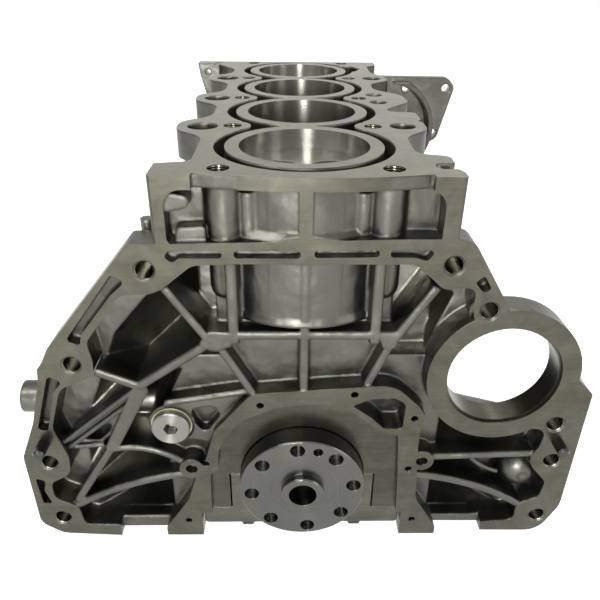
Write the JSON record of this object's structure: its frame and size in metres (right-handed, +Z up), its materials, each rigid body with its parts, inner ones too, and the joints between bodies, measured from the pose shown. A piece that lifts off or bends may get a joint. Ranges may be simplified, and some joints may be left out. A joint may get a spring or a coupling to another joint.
{
  "type": "engine short block",
  "caption": "Inline engine block with an integral flywheel-end flange, open water jacket, crankshaft, main caps, rods and pistons.",
  "frame": {"origin": "crankshaft axis where it crosses the machined rear face of the flywheel-end flange", "axes": "+Y along the crankshaft to the front of the block, +Z up the cylinder bores, +X to the right seen from the flywheel end"},
  "size_m": [0.3995, 0.5055, 0.297],
  "materials": {
    "cast_block": "as cast with machined faces",
    "cast_cap": "as cast with machined faces",
    "bolt_steel": "black oxide",
    "bearing_shell": "satin",
    "pin_steel": "ground",
    "plug_steel": "zinc plated",
    "washer_copper": "dull",
    "crank_steel": "turned flange, cast webs",
    "rod_steel": "forged",
    "piston_alloy": "turned",
    "ring_iron": "ground"
  },
  "bodies": {
    "block": {"block": "cast_block", "main_cap_1": "cast_cap", "main_cap_2": "cast_cap", "main_cap_3": "cast_cap", "main_cap_4": "cast_cap", "main_cap_5": "cast_cap", "main_cap_bolts": "bolt_steel", "main_bearing_uppers": "bearing_shell", "main_bearing_lowers": "bearing_shell", "thrust_washers": "bearing_shell", "bell_dowels": "pin_steel", "gallery_plug": "plug_steel", "plug_washer": "washer_copper"},
    "crankshaft": {"crankshaft": "crank_steel", "crank_key": "pin_steel"},
    "rod_set_1": {"rod_1": "rod_steel", "rod_cap_1": "rod_steel", "rod_bolts_1": "bolt_steel", "rod_bearings_1": "bearing_shell"},
    "piston_set_1": {"piston_1": "piston_alloy", "piston_rings_1": "ring_iron", "wrist_pin_1": "pin_steel", "pin_clips_1": "pin_steel"},
    "rod_set_2": {"rod_2": "rod_steel", "rod_cap_2": "rod_steel", "rod_bolts_2": "bolt_steel", "rod_bearings_2": "bearing_shell"},
    "piston_set_2": {"piston_2": "piston_alloy", "piston_rings_2": "ring_iron", "wrist_pin_2": "pin_steel", "pin_clips_2": "pin_steel"},
    "rod_set_3": {"rod_3": "rod_steel", "rod_cap_3": "rod_steel", "rod_bolts_3": "bolt_steel", "rod_bearings_3": "bearing_shell"},
    "piston_set_3": {"piston_3": "piston_alloy", "piston_rings_3": "ring_iron", "wrist_pin_3": "pin_steel", "pin_clips_3": "pin_steel"},
    "rod_set_4": {"rod_4": "rod_steel", "rod_cap_4": "rod_steel", "rod_bolts_4": "bolt_steel", "rod_bearings_4": "bearing_shell"},
    "piston_set_4": {"piston_4": "piston_alloy", "piston_rings_4": "ring_iron", "wrist_pin_4": "pin_steel", "pin_clips_4": "pin_steel"}
  },
  "joints": [
    {"name": "crank_turn", "type": "hinge", "parent": "block", "child": "crankshaft", "pos_m": [0, 0, 0], "axis": [0, 1, 0], "range_deg": [-8, 8]},
    {"name": "big_end_1", "type": "hinge", "parent": "crankshaft", "child": "rod_set_1", "pos_m": [0.02923, 0.372, 0.03422], "axis": [0, 1, 0], "range_deg": [-10.1, 10.1]},
    {"name": "piston_travel_1", "type": "slide", "parent": "block", "child": "piston_set_1", "axis": [0, 0, 1], "range_m": [-0.0051, 0.0051]},
    {"name": "big_end_2", "type": "hinge", "parent": "crankshaft", "child": "rod_set_2", "pos_m": [-0.02923, 0.27, -0.03422], "axis": [0, 1, 0], "range_deg": [-6.3, 6.3]},
    {"name": "piston_travel_2", "type": "slide", "parent": "block", "child": "piston_set_2", "axis": [0, 0, 1], "range_m": [-0.0032, 0.0032]},
    {"name": "big_end_3", "type": "hinge", "parent": "crankshaft", "child": "rod_set_3", "pos_m": [-0.02923, 0.168, -0.03422], "axis": [0, 1, 0], "range_deg": [-6.3, 6.3]},
    {"name": "piston_travel_3", "type": "slide", "parent": "block", "child": "piston_set_3", "axis": [0, 0, 1], "range_m": [-0.0032, 0.0032]},
    {"name": "big_end_4", "type": "hinge", "parent": "crankshaft", "child": "rod_set_4", "pos_m": [0.02923, 0.066, 0.03422], "axis": [0, 1, 0], "range_deg": [-10.1, 10.1]},
    {"name": "piston_travel_4", "type": "slide", "parent": "block", "child": "piston_set_4", "axis": [0, 0, 1], "range_m": [-0.0051, 0.0051]}
  ],
  "couplings": [
    {"joint": "big_end_1", "follows": "crank_turn", "ratio": -1.2326},
    {"joint": "piston_travel_1", "follows": "crank_turn", "m_per_rad": -0.036022},
    {"joint": "big_end_2", "follows": "crank_turn", "ratio": -0.76742},
    {"joint": "piston_travel_2", "follows": "crank_turn", "m_per_rad": 0.022428},
    {"joint": "big_end_3", "follows": "crank_turn", "ratio": -0.76742},
    {"joint": "piston_travel_3", "follows": "crank_turn", "m_per_rad": 0.022428},
    {"joint": "big_end_4", "follows": "crank_turn", "ratio": -1.2326},
    {"joint": "piston_travel_4", "follows": "crank_turn", "m_per_rad": -0.036022}
  ]
}
